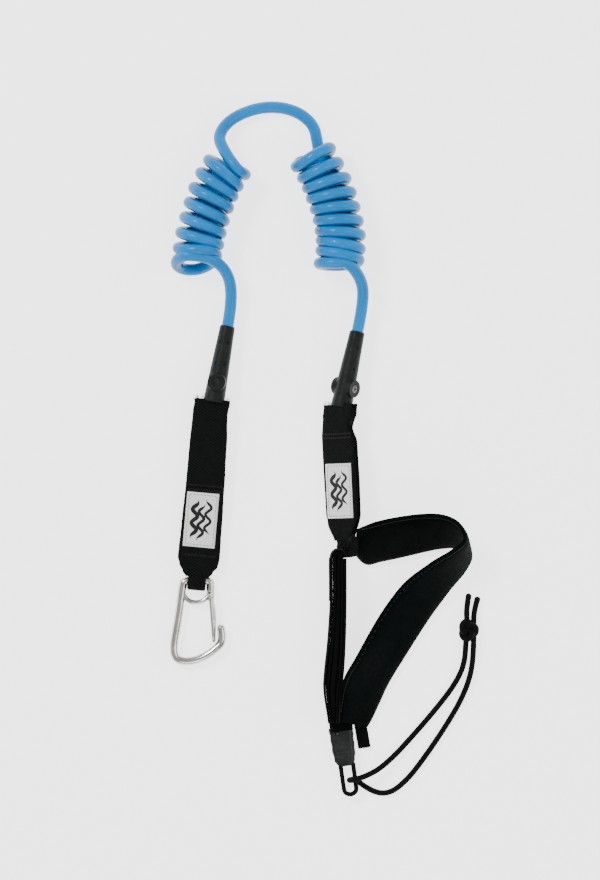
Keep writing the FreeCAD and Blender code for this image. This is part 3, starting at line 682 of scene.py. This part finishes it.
def loose_threads(shape, rng, edge, count, direction, reach=(0.8, 2.6)):
    """Short fibres out of a cut edge; edge(share) is a point of it."""
    for _ in range(count):
        foot = edge(rng.random()) + UP * rng.uniform(-0.4, 0.4)
        length = rng.uniform(*reach)
        lean = Vector((rng.uniform(-0.7, 0.7), rng.uniform(-0.2, 0.2), rng.uniform(-0.45, 0.45)))
        curl = Vector((rng.uniform(-0.5, 0.5), rng.uniform(-0.3, 0.3), rng.uniform(-0.4, 0.4)))
        line = []
        for k in range(5):
            share = k / 4
            line.append(foot + (direction + lean) * (length * share) + curl * (length * share * share))
        shape.rod(line, 0.11, 5, rounded=False)


TAB_EDGES = {
    "left": {
        "left": widths([(8, 11.4), (0, 11.9), (-20, 12.3), (-47, 12.4), (-70, 12.9), (-92, 13.4),
                        (-97, 12.0), (-101, 9.6), (-104.4, 7.4)]),
        "right": widths([(8, 11.0), (0, 10.2), (-20, 11.4), (-47, 12.2), (-70, 12.8), (-92, 13.2),
                         (-97, 12.4), (-101, 9.6), (-104.4, 7.4)]),
        "tops": (7.2, 4.4),
        "flap": -46.8,
        "bottom": -104.2,
        "tacks": (-46.2, -49.2, -90.5),
    },
    "right": {
        "left": widths([(8, 9.6), (1, 10.8), (-12, 12.9), (-30, 12.8), (-60, 12.4), (-66, 11.4), (-79, 6.5)]),
        "right": widths([(8, 13.2), (4, 12.6), (-6, 9.2), (-16, 12.4), (-40, 12.8), (-60, 12.5), (-79, 6.5)]),
        "tops": (4.6, 6.4),
        "flap": None,
        "bottom": -77.5,
        "tacks": (-10.0, -12.4),
    },
}


def tab_sides(side):
    """The left and right edges of a tab at a Y."""
    edges = TAB_EDGES[side]
    return lambda y: -edges["left"](y), lambda y: edges["right"](y)


def over_eye(y):
    """How far the outer layers stand off to pass the swivel's eye."""
    return 0.75 * ease((y + 9) / 8)


def outer_layers(side):
    edges = TAB_EDGES[side]
    place = SIDES[side]["tab"]
    left, right = tab_sides(side)
    front_bottom = edges["flap"] or edges["bottom"]
    front = Shape()
    fabric_layer(front, left, right, TAB_TOP, front_bottom, lambda y: FACE + over_eye(y), seed=1.0)
    front_name = "upper_flap" if side == "left" else "face"
    front = front.piece(f"{side}_tab_{front_name}_webbing", "webbing", None, place,
                        [f"{side}_tab_{front_name}"])
    back = Shape()
    fabric_layer(back, left, right, TAB_TOP, edges["bottom"], lambda y: -FACE - over_eye(y), seed=5.0)
    back = back.piece(f"{side}_tab_back_webbing", "webbing", None, place, [f"{side}_tab_back"])
    return front, back


def frayed_shoulders(side, rng):
    """The cut layers beside the moulded end's mouth and the loose threads of every cut edge."""
    left, right = tab_sides(side)
    shoulders = Shape()
    tops = list(zip((-1, 1), TAB_EDGES[side]["tops"]))
    for sign, top in tops:
        outer = left if sign < 0 else right
        for level in (-1.35, 0.0, 1.35):
            near = (lambda y: outer(y) + 0.15) if sign < 0 else (lambda y: MOUTH_SIDE)
            far = (lambda y: -MOUTH_SIDE) if sign < 0 else (lambda y: outer(y) - 0.15)
            end = top - abs(level) * 0.5
            fabric_layer(shoulders, near, far, end, -4.5, lambda y: level, 0.66, 8, level + sign)

    def shoulder_edge(share):
        return Vector((sign * (MOUTH_SIDE + (half - MOUTH_SIDE) * share), top - 0.3, 0))

    def layer_edge(share):
        return Vector((-10.5 + 21 * share, TAB_TOP - 0.2, level))

    for sign, top in tops:
        half = TAB_EDGES[side]["left" if sign < 0 else "right"](top)
        loose_threads(shoulders, rng, shoulder_edge, 26, Vector((0.25 * sign, 1, 0)))
    for level in (FACE + 0.75, -FACE - 0.75):
        loose_threads(shoulders, rng, layer_edge, 30, Vector((0, 1, 0)))
    return shoulders.piece(side + "_tab_frayed_shoulders", "webbing", None, SIDES[side]["tab"])


def inner_strap(side, rng):
    """The core layers, turned round the swivel's eye and, on the left, round the hook's bar."""
    left, right = tab_sides(side)
    core = Shape()
    sleeve(core, 0.0, 1.95, 3.5)
    fabric_layer(core, lambda y: -3.5, lambda y: 3.5, -2.4, -6.0, lambda y: 0.0, CORE, 12)
    fabric_layer(core, lambda y: left(y) + 0.3, lambda y: right(y) - 0.3, -4.0,
                 TAB_EDGES[side]["bottom"] + 0.4, lambda y: 0.0, CORE - 0.1, 40, 3.0)

    def foot_edge(share):
        return Vector((-11 + 22 * share, -97.5 - 2.4 * math.sin(math.pi * share), 0))

    if side == "left":
        sleeve(core, -SIDES[side]["length"] - 1.1, 4.0, 5.8)
        loose_threads(core, rng, foot_edge, 40, Vector((0, -0.8, 0)), (0.6, 1.8))
    core.piece(side + "_tab_inner_strap", "webbing", SIDES[side]["body"], SIDES[side]["tab"],
               [side + "_tab_core"])


def tab_webbing(side):
    """The tab's sewn layers; those that pass the swivel's eye bend there."""
    edges = TAB_EDGES[side]
    place = SIDES[side]["tab"]
    body = SIDES[side]["body"]
    rng = random.Random(len(side))
    for piece in (*outer_layers(side), frayed_shoulders(side, rng)):
        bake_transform(piece)
    inner_strap(side, rng)
    if side == "left":
        left, right = tab_sides(side)
        lower = Shape()
        fabric_layer(lower, left, right, edges["flap"] - 0.3, edges["bottom"], lambda y: FACE - 0.1, seed=9.0)
        lower.piece("left_tab_lower_webbing", "webbing", body, place, ["left_tab_lower_face"])

    tacks = Shape()
    for down in edges["tacks"]:
        for i in range(25):
            slant = Vector((0.7, 1.0 if i % 2 else -1.0, 0))
            tacks.stitch(Vector((-10.2 + 0.85 * i, down, SURFACE + 0.12)), slant, UP, 1.7, 0.2)
    tacks.piece(side + "_tab_bar_tacks", "thread", body, place, [side + "_tab_stitching"])


LABEL = (10.2, 17.3)
WAVES = [(-12.0, 12.5, 1.15), (-13.0, 10.0, 0.85), (-9.0, 13.0, 0.75)]


def label(side):
    """A woven label, its dashed border and a plain mark of three waves."""
    body = SIDES[side]["body"]
    place = SIDES[side]["tab"] @ Matrix.Translation(Vector((*SIDES[side]["label"], SURFACE + 0.2)) * MM)
    wide, high = LABEL
    cloth = Shape()
    stations = []
    for i in range(61):
        y = high - 2 * high * i / 60
        wave = 0.08 * noise.noise((y * 0.3, wide, 0))
        stations.append((Vector((wave, y, wave)), ACROSS, UP, wide + wave * 0.6, 0.24, -y))
    cloth.strip(stations, 24, 14.0)
    cloth.piece(side + "_woven_label", "label_cloth", body, place, [side + "_label"])

    border = Shape()
    right, top = wide - 1.5, high - 1.5
    corners = [Vector((x * right, y * top, 0.27)) for x, y in ((1, 1), (-1, 1), (-1, -1), (1, -1))]
    for one, two in zip(corners, corners[1:] + corners[:1]):
        count = round((two - one).length / 2.1)
        for i in range(count):
            border.stitch(one.lerp(two, (i + 0.5) / count), two - one, UP, 1.35, 0.17)
    border.piece(side + "_label_border_stitches", "thread", body, place, [side + "_label_stitching"],
                 GREY_THREAD)

    mark = Shape()
    for row, (start, stop, heavy) in enumerate(WAVES):
        stations = []
        for i in range(81):
            y = stop + (start - stop) * i / 80
            middle = Vector((-4.2 + 4.2 * row + 1.7 * math.sin(y * 0.72 + row), y, 0.27))
            slope = Vector((1, -1.7 * 0.72 * math.cos(y * 0.72 + row), 0)).normalized()
            taper = ease(min(i, 80 - i) / 12)
            stations.append((middle, slope, UP, 0.15 + heavy * taper, 0.1, -y))
        mark.strip(stations, 6, 6.0)
    mark.piece(side + "_label_wave_mark", "thread", body, place)


# ---- cuff -------------------------------------------------------------------------------------

CUFF_WIDTH = 38.0
CUFF_HALF = 2.35
CUFF_COLUMNS = 28
CUFF_PRESSURE = 0.4
CUFF_SWELL = 1.0
CUFF_STATIONS = [
    ((20.5, 2.6), (21.8, 19.4), 0.66),
    ((28.0, -3.9), (30.5, 23.0), 1.0),
    ((37.0, -2.2), (39.5, 25.5), 1.0),
    ((50.0, 0.4), (51.0, 27.5), 1.0),
    ((63.0, 3.6), (63.5, 29.0), 1.0),
    ((75.0, 6.0), (75.5, 28.5), 1.0),
    ((86.0, 6.5), (85.0, 24.0), 1.0),
    ((94.0, 1.0), (89.5, 14.0), 1.0),
    ((90.0, -9.5), (80.5, 5.5), 1.0),
    ((81.0, -20.5), (67.5, -2.0), 1.0),
    ((68.5, -38.0), (51.0, -15.0), 1.0),
    ((56.0, -57.5), (36.0, -35.0), 1.0),
    ((43.0, -78.5), (21.2, -61.0), 1.0),
    ((37.2, -90.8), (13.8, -74.0), 1.0),
    ((32.4, -100.6), (10.2, -88.0), 0.88),
    ((28.6, -107.2), (9.8, -102.2), 0.6),
]


def inflate(piece, pressure, cap, frames=20):
    """Swells a closed mesh as cloth under pressure; no point moves further than the cap."""
    scene = bpy.context.scene
    rest = [vertex.co.copy() for vertex in piece.data.vertices]
    cloth = piece.modifiers.new("Cloth", "CLOTH")
    cloth.settings.quality = 6
    cloth.settings.mass = 0.3
    cloth.settings.tension_stiffness = 12
    cloth.settings.compression_stiffness = 12
    cloth.settings.bending_stiffness = 0.6
    cloth.settings.use_pressure = True
    cloth.settings.uniform_pressure_force = pressure
    cloth.settings.effector_weights.gravity = 0
    cloth.point_cache.frame_start = 1
    cloth.point_cache.frame_end = frames
    for number in range(1, frames + 1):
        scene.frame_set(number)
    swollen = piece.evaluated_get(bpy.context.evaluated_depsgraph_get()).data
    moved = [vertex.co.copy() for vertex in swollen.vertices]
    piece.modifiers.remove(cloth)
    scene.frame_set(1)
    for vertex, start, stop in zip(piece.data.vertices, rest, moved):
        shift = stop - start
        if shift.length > cap:
            shift = shift.normalized() * cap
        vertex.co = start + shift


def cuff_stations(count):
    lows = [Vector((*low, 0)) for low, _, _ in CUFF_STATIONS]
    highs = [Vector((*high, 0)) for _, high, _ in CUFF_STATIONS]
    shares = [Vector((share, 0, 0)) for _, _, share in CUFF_STATIONS]
    edges = []
    for i in range(count + 1):
        low, high = along(lows, i / count), along(highs, i / count)
        width = CUFF_WIDTH * min(1.0, along(shares, i / count).x)
        plan = (high - low).length
        rise = math.sqrt(max(width * width - plan * plan, 4.0))
        foot = 0.45 + CUFF_HALF * plan / width
        edges.append((low + UP * foot, high + UP * (foot + rise)))
    stations = []
    run = 0.0
    for i, (low, high) in enumerate(edges):
        before, after = edges[max(i - 1, 0)], edges[min(i + 1, count)]
        onward = (after[0] + after[1] - before[0] - before[1]) / 2
        across = (high - low).normalized()
        normal = onward.cross(high - low).normalized()
        centre = (low + high) / 2
        run += (centre - stations[-1][0]).length if stations else 0.0
        ripple = 0.35 * noise.noise((run * 0.05, 3.0, 0.0))
        squeezed = CUFF_HALF * (0.55 + 0.45 * ease(min(i, count - i) / 5))
        stations.append((centre + normal * ripple, across, normal, (high - low).length / 2, squeezed, run))
    return stations


def cuff():
    """The neoprene pad, swollen as cloth, then sewn down along both edges."""
    rings = 110
    shape = Shape()
    _, count = shape.strip(cuff_stations(rings), CUFF_COLUMNS, 5.0)
    pad = shape.piece("cuff_neoprene_pad", "neoprene")
    inflate(pad, CUFF_PRESSURE, CUFF_SWELL * MM)
    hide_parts("cuff_pad")
    vertices = pad.data.vertices

    def surface(ring, k):
        return vertices[ring * count + k].co / MM

    seams = Shape()
    for k in (2, CUFF_COLUMNS - 2):
        back = (2 * CUFF_COLUMNS - k) % count
        for ring in range(3, rings - 2):
            middle = (surface(ring, k) + surface(ring, back)) / 2
            for place in (k, back):
                outward = (surface(ring, place) - middle).normalized()
                vertices[ring * count + place].co -= outward * (0.45 * MM)
        for ring in range(4, rings - 3):
            middle = (surface(ring, k) + surface(ring, back)) / 2
            for place in (k, back):
                outward = (surface(ring, place) - middle).normalized()
                onward = surface(ring + 1, place) - surface(ring - 1, place)
                seams.stitch(surface(ring, place) + outward * 0.15, onward, outward, 1.5, 0.2)
    pad.data.update()
    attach(pad, "cuff")
    smooth = pad.modifiers.new("Subdivision", "SUBSURF")
    smooth.levels = 1
    smooth.render_levels = 1
    seams.piece("cuff_seam_stitches", "thread", "cuff")


def cuff_neck():
    """Webbing that narrows out of the right tab and turns into the start of the pad."""
    tab = SIDES["right"]["tab"]
    turn = tab.to_3x3()
    start = tab @ Vector((0, -0.0755, 0)) / MM
    stop_low, stop_high = Vector((23.5, 1.5, 4.0)), Vector((24.5, 19.5, 20.0))
    across_start, across_stop = turn @ ACROSS, (stop_low - stop_high).normalized()
    middle = tab @ Vector((0.0008, -0.083, 0)) / MM
    stop = (stop_low + stop_high) / 2
    line = [start, (start + middle) / 2, middle, (middle + stop) / 2 + Vector((0, -1.0, 0)), stop]
    stations = []
    run = 0.0
    for i in range(61):
        share = i / 60
        centre = along(line, share)
        onward = (along(line, share + 0.02) - along(line, share - 0.02)).normalized()
        across = across_start.lerp(across_stop, ease(share * 1.1))
        across = (across - onward * across.dot(onward)).normalized()
        normal = across.cross(onward)
        wide = 6.0 - 0.4 * ease(share * 2.2) + 4.6 * ease((share - 0.5) / 0.5)
        run += (centre - stations[-1][0]).length if stations else 0.0
        stations.append((centre, across, normal, wide, 2.25 - 0.6 * share, run))
    shape = Shape()
    shape.strip(stations, 26, 6.0, rib_relief)
    shape.piece("cuff_neck_webbing", "webbing", "cuff", replaces=["cuff_neck"])


# ---- snap hook --------------------------------------------------------------------------------

HOOK_ROUTE = [
    (8.6, -11.5, 0),
    (8.7, -3.0, 0),
    (8.2, 0.0, 0),
    (-7.9, 0.0, 0),
    (-9.0, -3.0, 0),
    (-10.4, -14.0, 0),
    (-12.8, -30.0, 0),
    (-15.0, -42.0, 0),
    (-14.0, -49.2, 0),
    (-9.0, -51.4, 0),
    (-2.0, -51.0, 0),
    (5.0, -48.4, 0),
    (12.0, -43.4, 0),
    (16.8, -38.6, 0),
    (15.2, -30.0, 0),
]
EYE_BAR_ROUTE = [(-8.6, -8.6, 0), (-6.4, -12.6, 0), (-1.0, -14.4, 0), (4.6, -13.0, 0), (7.6, -9.6, 0)]
GATE_ROUTE = [
    (8.4, -8.0, 0.0),
    (8.4, -8.0, 3.8),
    (8.8, -10.5, 4.2),
    (9.7, -23.5, 3.7),
    (10.7, -37.0, 2.2),
    (10.7, -38.6, 0.0),
    (10.7, -37.0, -2.2),
    (11.3, -21.5, -3.7),
    (8.8, -10.5, -4.2),
    (8.4, -8.0, -3.8),
    (8.4, -8.0, 0.0),
]


def snap_hook():
    """Bent and polished rod, its captive eye bar and its wire gate, without the flats of the CAD."""
    for name, route, radius, body, node in (
        ("hook_bent_rod", HOOK_ROUTE, 2.5, "snap_hook", "hook_frame"),
        ("hook_captive_bar", EYE_BAR_ROUTE, 1.45, "snap_hook", "hook_eye_bar"),
        ("hook_gate_wire", GATE_ROUTE, 1.15, "hook_gate", "wire_gate"),
    ):
        shape = Shape()
        shape.rod(evenly(nurbs_line(route), 0.6), radius, 24)
        shape.piece(name, "steel", body, HOOK, [node])


# ---- closing strap ----------------------------------------------------------------------------

OUTER_STRAP = [(13.6, 0.8), (12.9, 3.4), (10.2, 4.7), (7.6, 3.0), (7.0, -2.0), (7.0, -26.4), (5.4, -51.8),
               (3.4, -71.0), (2.7, -84.0), (5.2, -103.0)]
INNER_STRAP = [(13.6, 0.1), (13.6, -26.4), (13.1, -51.8), (12.0, -71.0), (10.4, -84.0), (9.8, -103.0)]
# centre line and half thickness of the dark filling, partly painted shade in the gap between the layers
FILLING = [(10.6, 2.9, 1.6), (10.4, -5.0, 2.4), (10.2, -26.4, 2.4), (9.2, -51.8, 2.9), (7.7, -71.0, 3.2),
           (6.6, -84.0, 2.8), (7.6, -103.0, 2.0)]
STRAP_MIDDLE = 12.7
STRAP_HALF = 12.4


def strap_layer(name, slot, plan, offset, thick, replaces=(), finish=None, reach=(0.0, 1.0), half=STRAP_HALF,
                relief=rib_relief):
    """One layer of a strap that stands on edge, beside the strap's own line."""
    points = [Vector((*point, STRAP_MIDDLE)) for point in plan]
    line = evenly([along(points, i / 300) for i in range(301)], RIB / 3)
    first, last = round(reach[0] * (len(line) - 1)), round(reach[1] * (len(line) - 1))
    stations = []
    for i in range(first, last + 1):
        onward = (line[min(i + 1, len(line) - 1)] - line[max(i - 1, 0)]).normalized()
        normal = UP.cross(onward)
        thin = 1 - 0.3 * ease((-line[i].y - 70) / 30)
        centre = line[i] + normal * (offset * thin) + UP * (0.12 * noise.noise((line[i].y * 0.2, offset, 0)))
        stations.append((centre, UP, normal, half, thick * thin, (i - first) * RIB / 3))
    shape = Shape()
    shape.strip(stations, 36, 8.0, relief)
    return shape.piece(name, slot, "cuff", WORLD, replaces, finish)


def pile_relief(u, v):
    """The short pile of hook-and-loop tape."""
    return 0.2 * noise.noise((u * 1.7, v * 1.7, 0.0))


def closing_strap():
    """The doubled strap: webbing with hook-and-loop tape on both inner faces, and a grey edge."""
    strap_layer("closing_strap_outer_webbing", "hook_tape", OUTER_STRAP, -1.35, 0.85,
                ["closing_strap_outer"])
    strap_layer("closing_strap_outer_tape", "hook_tape", OUTER_STRAP, 0.75, 1.0, relief=pile_relief,
                half=11.8)
    strap_layer("closing_strap_inner_tape", "hook_tape", INNER_STRAP, -0.75, 0.9, relief=pile_relief,
                half=11.9)
    strap_layer("closing_strap_inner_webbing", "hook_tape", INNER_STRAP, 1.05, 0.75,
                ["closing_strap_inner"])
    strap_layer("closing_strap_grey_edge", "hook_tape", OUTER_STRAP, -2.45, 0.3, reach=(0.1, 0.33),
                finish=GREY_TRIM, half=12.0)
    gap_shade_filling()


def gap_shade_filling():
    """Dark filling between the strap's layers: partly its pressed body, partly painted shade in the gap."""
    points = [Vector(point) for point in FILLING]
    stations = []
    for i in range(181):
        x, y, thick = along(points, i / 180)
        onward = along(points, i / 180 + 0.01) - along(points, i / 180 - 0.01)
        normal = UP.cross(Vector((onward.x, onward.y, 0))).normalized()
        stations.append((Vector((x, y, STRAP_MIDDLE - 0.9)), UP, normal, STRAP_HALF - 1.4, thick, -y))
    filling = Shape()
    filling.strip(stations, 36, 4.0, pile_relief)
    filling.piece("closing_strap_gap_shade_filling", "hook_tape", "cuff")


# ---- closure ----------------------------------------------------------------------------------

RING_ROUTE = [(-4, -24, 0), (-4, -38, 0), (-3.7, -41.6, 0), (0, -43.4, 0), (3.7, -41.6, 0), (4, -38, 0),
              (4, -24, 0)]


def closure():
    """The shiny pull tab: vinyl folded over the ring, with a pressed edge."""
    shape = Shape()
    stations = []
    half = widths([(3, 7.7), (-15, 7.3), (-21, 6.6), (-23.5, 5.5), (-24.8, 3.6)])
    for i in range(63):
        y = -24.8 * i / 62
        bow = 0.35 * math.sin(y * 0.16)
        stations.append((Vector((0.15 * math.sin(y) - 0.7, y, bow)), ACROSS, UP, half(y), 1.35, -y))

    def pressed(u, v):
        edge = half(-v) - abs(u)
        ribs = 0.12 * math.sin(v * 2.4) if 9 < v < 21 else 0.0
        return -0.28 * math.exp(-((edge - 1.5) / 0.5) ** 2) + ribs * ease((edge - 1.8) / 0.8)

    shape.strip(stations, 36, 9.0, pressed)
    shape.piece("closure_pull_tab", "closure_plastic", "closure", CLOSURE, ["closure_tab"])
    closure_ring()
    closure_hinge()
    cuff_end_patch()


def closure_ring():
    ring = Shape()
    ring.rod([Vector(point) for point in nurbs_line(RING_ROUTE)], 1.5, 20)
    ring.piece("closure_ring_loop", SLOTS["closure_ring"], "closure", CLOSURE, ["closure_ring"])


def closure_hinge():
    """Webbing where the closure peels off the strap."""
    hinge = Shape()
    fabric_layer(hinge, lambda y: -7.6, lambda y: 7.2, 5.2, -2.6, lambda y: 0.3, 1.35, 24, 7.0)
    hinge = hinge.piece("closure_hinge_webbing", "hook_tape", None, CLOSURE)
    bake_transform(hinge)


def cuff_end_patch():
    patch = Shape()
    rng = random.Random(11)
    fabric_layer(patch, lambda y: -4.0, lambda y: 4.0, 7.6, -7.6, lambda y: 0.0, 1.15, 16, 4.0)
    loose_threads(patch, rng, lambda share: Vector((-3.8 + 7.6 * share, -7.4, 0)), 14, Vector((0, -1, 0)),
                  (0.4, 1.2))
    place = Matrix.Translation(Vector((25.6, -112.5, 1.5)) * MM) @ Matrix.Rotation(math.radians(10), 4, "Z")
    patch.piece("cuff_end_webbing_patch", SLOTS["cuff_end_patch"], "cuff", place, ["cuff_end_patch"])


# ---- carried-over nodes and moulded ends -------------------------------------------------------


def softened(node, name, slot, body, voxel=0.32, rounds=5):
    """A node's own shape with its corners and joins rounded, as a moulding has them."""
    piece = bpy.data.objects.new(name, frame["nodes"][node].data.copy())
    bpy.context.scene.collection.objects.link(piece)
    remesh = piece.modifiers.new("Remesh", "REMESH")
    remesh.mode = "VOXEL"
    remesh.voxel_size = voxel * MM
    smooth = piece.modifiers.new("Smooth", "SMOOTH")
    smooth.factor = 0.6
    smooth.iterations = rounds
    evaluated = piece.evaluated_get(bpy.context.evaluated_depsgraph_get())
    mesh = bpy.data.meshes.new_from_object(evaluated)
    piece.modifiers.clear()
    piece.data = mesh
    mesh.shade_smooth()
    mesh.materials.clear()
    mesh.materials.append(FINISHES[slot])
    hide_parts(node)
    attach(piece, body)


def carried_over():
    """The CAD nodes that show keep their shape; screws and the rivet are darker than their slot."""
    for name, node in frame["nodes"].items():
        if not node.hide_render:
            node.data.materials.clear()
            dark = "screw" in name or "rivet" in name
            node.data.materials.append(DARK_STEEL if dark else FINISHES[SLOTS[name]])


# ---- floor and light --------------------------------------------------------------------------


def floor():
    mesh = bpy.data.meshes.new("floor")
    reach, level = 4.0, -0.0003
    corners = [(-reach, -reach, level), (reach, -reach, level), (reach, reach, level), (-reach, reach, level)]
    mesh.from_pydata(corners, [], [(0, 1, 2, 3)])
    mesh.materials.append(floor_finish())
    piece = bpy.data.objects.new("floor", mesh)
    bpy.context.scene.collection.objects.link(piece)


def area_light(name, place, energy, size):
    data = bpy.data.lights.new(name, "AREA")
    data.energy = energy
    data.size = size
    light = bpy.data.objects.new(name, data)
    light.location = place
    light.rotation_mode = "QUATERNION"
    light.rotation_quaternion = (-Vector(place)).to_track_quat("-Z", "Y")
    bpy.context.scene.collection.objects.link(light)


def studio():
    floor()
    area_light("key", (-0.9, 0.9, 1.5), 24, 0.45)
    area_light("fill", (1.2, 0.2, 1.3), 10, 1.2)
    area_light("front", (0.1, -1.3, 1.2), 8, 1.0)
    world = bpy.data.worlds.new("studio")
    world.use_nodes = True
    world.node_tree.nodes["Background"].inputs[0].default_value = (1, 1, 1, 1)
    world.node_tree.nodes["Background"].inputs[1].default_value = 0.45
    bpy.context.scene.world = world


add_camera()
blue_cord()
pull_cord()
for side in SIDES:
    tab_webbing(side)
    label(side)
    softened(side + "_moulded_end", side + "_end_moulding", "moulded_plastic", "coil_cord")
cuff()
cuff_neck()
closing_strap()
closure()
snap_hook()
carried_over()
studio()
